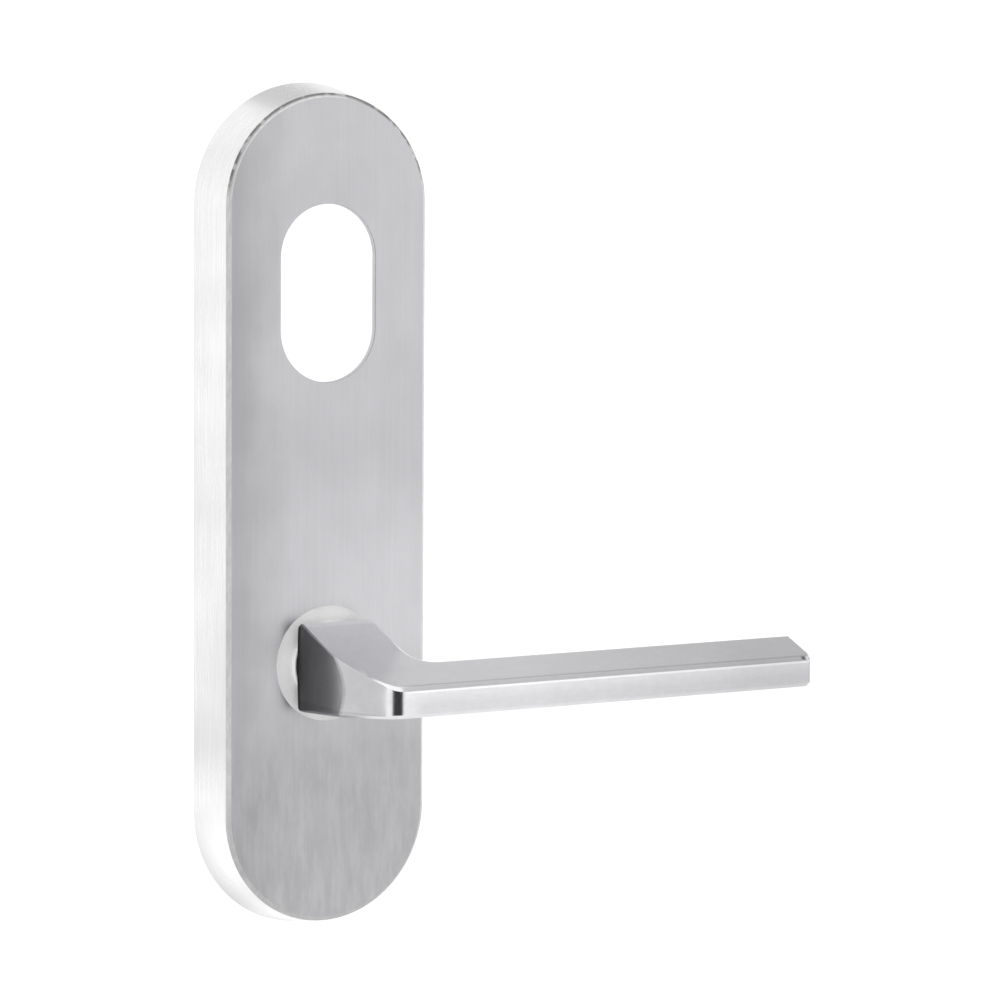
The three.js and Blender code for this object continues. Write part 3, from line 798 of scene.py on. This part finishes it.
def inside_points():
    """The neck's right side and its sweep into the back of the grip."""
    leaving = (NECK_HALF_W - 1.5 * NECK_TAPER, out(24.7))
    arriving = (NECK_HALF_W + NECK_TAPER, GRIP_BACK_Y)
    sweep = curve_points(SWEEP_START, leaving, arriving, SWEEP_END, 16)
    return [(NECK_HALF_W, NECK_BACK_Y), SWEEP_START, *sweep]


def front_points():
    """The rounded front edge of the tip, and the front as far as the corner."""
    end_y = GRIP_FRONT_Y + TIP_ROUND
    leaving = (TIP_X, GRIP_FRONT_Y + 0.5 * TIP_ROUND)
    arriving = (TIP_X - 0.5 * TIP_ROUND, GRIP_FRONT_Y)
    front_start = (TIP_X - TIP_ROUND, GRIP_FRONT_Y)
    return [*curve_points((TIP_X, end_y), leaving, arriving, front_start, 12), CORNER_START]


def corner_points():
    """The rounding between the front and the facet, without its two ends."""
    leaving = (-1.3 * MM, GRIP_FRONT_Y)
    arriving = (-2.5 * MM, out(41.4))
    return curve_points(CORNER_START, leaving, arriving, FACET_START, 10)[:-1]


def left_points(turn_out):
    """The facet, its turn into the neck's left side, and that side back to the plate."""
    neck_steps = 4
    turn = (NECK_TAPER - NECK_HALF_W, out(turn_out))
    leaving = (-6.6 * MM, out(36))
    arriving = (-8.9 * MM, out(turn_out + 4))
    points = [FACET_START, *curve_points(FACET_START, leaving, arriving, turn, 8)]
    for i in range(1, neck_steps):
        t = i / neck_steps
        y = out(turn_out) + (NECK_BACK_Y - out(turn_out)) * t
        points.append((NECK_TAPER * (1 - t) ** 2 - NECK_HALF_W, y))
    return points


def lever_plan(turn_out):
    """The lever seen from above, as (x, y, part of the outline), with its left side turning into
    the facet at a distance out from the plate."""
    parts = {
        "inside": inside_points(),
        "end": [(TIP_X, GRIP_BACK_Y), (TIP_X, GRIP_FRONT_Y + TIP_ROUND)],
        "front": front_points(),
        "corner": corner_points(),
        "left": left_points(turn_out),
        "back": [(-NECK_HALF_W, NECK_BACK_Y)],
    }
    return [(x, y, part) for part, points in parts.items() for x, y in points]


def inset(plan, widths):
    """Points inside a plan: each edge moved in by its own width, and the edges met again."""
    nearly_straight = 0.2
    count = len(plan)
    points = []
    for i in range(count):
        here = Vector(plan[i][:2])
        before = (here - Vector(plan[i - 1][:2])).normalized()
        after = (Vector(plan[(i + 1) % count][:2]) - here).normalized()
        in_before = Vector((before.y, -before.x)) * widths[i - 1]
        in_after = Vector((after.y, -after.x)) * widths[i]
        turn = before.x * after.y - before.y * after.x
        if abs(turn) < nearly_straight:
            points.append(here + (in_before + in_after) / 2)
        else:
            step = in_after - in_before
            along = (step.x * after.y - step.y * after.x) / turn
            points.append(here + in_before + before * along)
    return points


def bevelled_side(plan, bevels, face_z, inwards):
    """The two rings of points of a bevel: its edge on the sloping face, and on the side. Inwards
    is -1 for the top face and 1 for the bottom face."""
    widths = []
    for _, y, part in plan:
        width = bevels[part][0] * MM
        if part == "left" and inwards < 0:
            width = turned_in((PLATE_FRONT_Y - y) / MM) * MM
        widths.append(width)
    edge = [(p.x, p.y, face_z(p.y)) for p in inset(plan, widths)]
    side = [(x, y, face_z(y) + inwards * bevels[part][1] * MM) for x, y, part in plan]
    return edge, side


def side_row(share):
    """One ring of points on the lever's upright sides, at a share of the way up them."""
    row = []
    for x, y, part in lever_plan(neck_turn(share)):
        low = lever_bottom(y) + LOW_BEVEL[part][1] * MM
        high = lever_top(y) - TOP_BEVEL[part][1] * MM
        row.append((x, y, low + (high - low) * share))
    return row


def make_lever():
    """Neck and grip: upright sides between two sloping faces, with a bevel round each."""
    top_edge, top_side = bevelled_side(lever_plan(neck_turn(1)), TOP_BEVEL, lever_top, -1)
    low_edge, low_side = bevelled_side(lever_plan(neck_turn(0)), LOW_BEVEL, lever_bottom, 1)
    middle = [side_row(i / LEVER_ROWS) for i in range(1, LEVER_ROWS)]
    bm = lofted([low_edge, low_side, *middle, top_side, top_edge])
    made = new_object("lever_visual", bm, [LEVER_METAL])
    bevel(made, width=0.35 * MM, segments=3, degrees=26)
    smooth(made, 10)
    made.visible_glossy = False  # the plate's finish is too coarse to show an image of the lever
    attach(made, LEVER_BODY)
    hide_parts("lever_handle")


def make_journal():
    """The lever's round journal, which turns in the bush and carries the circlip."""
    radius = 9.05 * MM
    groove = 8.2 * MM
    bore = 5.5 * MM
    front = NECK_BACK_Y - 0.5 * MM  # it starts inside the neck
    clip_front, clip_back = -10.9 * MM, -9.5 * MM
    end = LEVER_HIGH.y
    chamfer = 0.3 * MM
    profile = [
        (bore, front),
        (radius, front),
        (radius, clip_front),
        (groove, clip_front),
        (groove, clip_back),
        (radius, clip_back),
        (radius, end - chamfer),
        (radius - chamfer, end),
        (bore, end),
    ]
    made = turned("lever_journal_visual", profile, WASHER_METAL, 128)
    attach(made, LEVER_BODY)


# ---- the bearing ring ---------------------------------------------------------------------------


def rounded(radius, y, round_r, side):
    """Points round a profile's outer corner at its front: side 1 turns outwards from its inner
    wall and side -1 turns down its outer wall."""
    steps = 4
    points = []
    for i in range(steps + 1):
        angle = math.pi / 2 * i / steps
        short_of_cos = round_r * (1 - math.cos(angle))
        short_of_sin = round_r * (1 - math.sin(angle))
        if side > 0:
            points.append((radius + short_of_cos, y + short_of_sin))
        else:
            points.append((radius - short_of_sin, y + short_of_cos))
    return points


def make_ring():
    """The light, nearly flat ring round the neck, with its narrow raised lip."""
    lip_out, edge_out = 2.2, 0.55  # mm out from the plate
    dome_rise = 0.65  # how much further out the ring is next to its lip than at its edge
    round_r = 0.3 * MM
    dome_steps = 16
    dome_end_r = RING_R - round_r
    body_back = PLATE_FRONT_Y + 2.4 * MM
    foot = PLATE_FRONT_Y - 0.05 * MM
    profile = [(RING_INNER_R, body_back)]
    profile += rounded(RING_INNER_R, out(lip_out), round_r, 1)
    profile += rounded(RING_LIP_R, out(lip_out), round_r, -1)
    for i in range(dome_steps):
        t = i / dome_steps
        radius = RING_LIP_R + (dome_end_r - RING_LIP_R) * t
        profile.append((radius, out(edge_out + dome_rise * (1 - t * t))))
    profile += rounded(RING_R, out(edge_out), round_r, -1)
    profile += [(RING_R, foot), (RING_SEAT_R, foot), (RING_SEAT_R, body_back)]
    made = turned("bearing_ring_visual", profile, PALE_NYLON, 160)
    made.visible_glossy = False  # the plate's finish shows no image of the ring either
    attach(made, PLATE_BODY)
    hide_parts("bearing_ring")


# ---- pieces kept from the CAD shapes ------------------------------------------------------------


def refine(node, material, edge=0.12 * MM):
    """A copy of a CAD node's own shape with its facets joined, its edges softened and a finish."""
    bodies = frame["record"]["behaviour"]["bodies"]
    body = next(name for name, members in bodies.items() if node in members)
    bm = bmesh.new()
    bm.from_mesh(frame["nodes"][node].data)
    bmesh.ops.remove_doubles(bm, verts=bm.verts, dist=0.001 * MM)
    bmesh.ops.dissolve_limit(bm, angle_limit=math.radians(1), verts=bm.verts, edges=bm.edges)
    made = new_object(node + "_visual", bm, [material])
    bevel(made, width=edge, segments=2, degrees=40)
    smooth(made, 35)
    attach(made, body)
    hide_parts(node)


def refine_inner_pieces():
    refine("neck_bush", NYLON)
    # the neck pad's black nylon stands for shadow: a dark piece set in the gap under the neck's
    # base
    refine("neck_pad", NYLON, 0.1 * MM)
    refine("chassis_plate", ZINC_METAL, 0.08 * MM)
    refine("cassette_housing", CAST_METAL)
    refine("cassette_lid", ZINC_METAL)
    refine("drive_hub", CAST_METAL)
    refine("spindle", ZINC_METAL, 0.4 * MM)
    refine("set_screw", SPRING_METAL)
    refine("return_spring", SPRING_METAL)
    refine("circlip", SPRING_METAL, 0.06 * MM)
    refine("wave_washer", SPRING_METAL, 0.03 * MM)
    refine("thrust_washer", WASHER_METAL, 0.06 * MM)
    for which in ("upper", "lower"):
        refine("fixing_post_" + which, ZINC_METAL)
    for i in range(1, 5):
        refine(f"chassis_screw_{i}", SCREW_METAL, 0.08 * MM)
    for i in range(1, 4):
        refine(f"cassette_screw_{i}", SCREW_METAL, 0.08 * MM)


# ---- stage --------------------------------------------------------------------------------------

FLOOR_RADIUS = 60.0
FLOOR_DROP = 0.5  # from the plate's lower end, as the part hangs on a door
WORLD_LIGHT = 1.2


def make_floor():
    """A wide pale floor below the part."""
    bm = bmesh.new()
    bmesh.ops.create_circle(bm, cap_ends=True, radius=FLOOR_RADIUS, segments=96)
    floor = new_object("floor", bm, [floor_paint()])
    floor.location = (0, 0, COVER_LOW.z - FLOOR_DROP)


def make_world():
    world = bpy.data.worlds.new("pale_room")
    bpy.context.scene.world = world
    world.use_nodes = True
    background = world.node_tree.nodes["Background"]
    background.inputs["Color"].default_value = (1.0, 1.0, 1.0, 1.0)
    background.inputs["Strength"].default_value = WORLD_LIGHT


def around(degrees, distance, height):
    """A place round the plate: 0 is straight in front of it, and positive is to its right."""
    angle = math.radians(degrees)
    return (distance * math.sin(angle), -distance * math.cos(angle), PLATE_Z + height)


def studio_card(name, place, width, height, glow):
    """A card turned to the plate, seen only in reflections, where it is darker than the room."""
    middle = Vector((0, PLATE_FRONT_Y, PLATE_Z))
    bm = bmesh.new()
    bmesh.ops.create_grid(bm, x_segments=1, y_segments=1, size=0.5)  # one metre each way
    card = new_object(name, bm, [card_paper(name + "_paper", glow)])
    card.scale = (width, height, 1)
    card.location = place
    card.rotation_euler = (middle - Vector(place)).to_track_quat("Z", "Y").to_euler()
    card.visible_camera = False
    card.visible_diffuse = False
    card.visible_shadow = False


def make_cards():
    studio_card("card_front_left", around(-24, 0.9, 0), 0.96, 1.3, 0.03)
    studio_card("card_left", around(-100, 0.9, 0), 0.94, 2.6, 0.68)
    studio_card("card_above", (0.62, 0.72, 0.9), 1.3, 0.6, 0.68)
    studio_card("card_above_right", (0.7, -0.55, 1.05), 0.9, 0.5, 0.66)


# ---- camera -------------------------------------------------------------------------------------

CAMERA_TURN = math.radians(30.57)  # how far round to the plate's left the camera stands
CAMERA_DIP = math.radians(6.08)
CAMERA_ROLL = math.radians(0.375)
CAMERA_DISTANCE = 1.301
SENSOR_WIDTH = 36  # millimetres, as Blender has it
FRAME_WIDTH = 0.2666  # metres across the frame at the plate's face
FRAME_SHIFT = (-0.0459, -0.0028)  # from the middle of the frame to the plate's middle, in metres


def make_camera():
    """A long lens, set back from the middle of the plate's front face and aimed past its right."""
    data = bpy.data.cameras.new("camera")
    data.sensor_width = SENSOR_WIDTH
    data.lens = SENSOR_WIDTH * CAMERA_DISTANCE / FRAME_WIDTH
    data.clip_start = 0.05
    data.clip_end = 200
    camera = bpy.data.objects.new("camera", data)
    bpy.context.scene.collection.objects.link(camera)
    turn = Matrix.Rotation(CAMERA_TURN, 3, "Z")
    dip = Matrix.Rotation(CAMERA_DIP, 3, "X")
    roll = Matrix.Rotation(CAMERA_ROLL, 3, "Y")
    from_camera = (roll @ dip @ turn).transposed()
    offset = Vector((-FRAME_SHIFT[0], -CAMERA_DISTANCE, -FRAME_SHIFT[1]))
    place = Vector((0, PLATE_FRONT_Y, PLATE_Z)) + from_camera @ offset
    look = from_camera.to_4x4() @ Matrix.Rotation(math.pi / 2, 4, "X")
    camera.matrix_world = Matrix.Translation(place) @ look
    bpy.context.scene.camera = camera


# ---- the scene ----------------------------------------------------------------------------------

make_cover()
make_ring()
make_lever()
make_journal()
refine_inner_pieces()
make_floor()
make_world()
make_cards()
make_camera()
bpy.context.scene.view_settings.view_transform = "Standard"
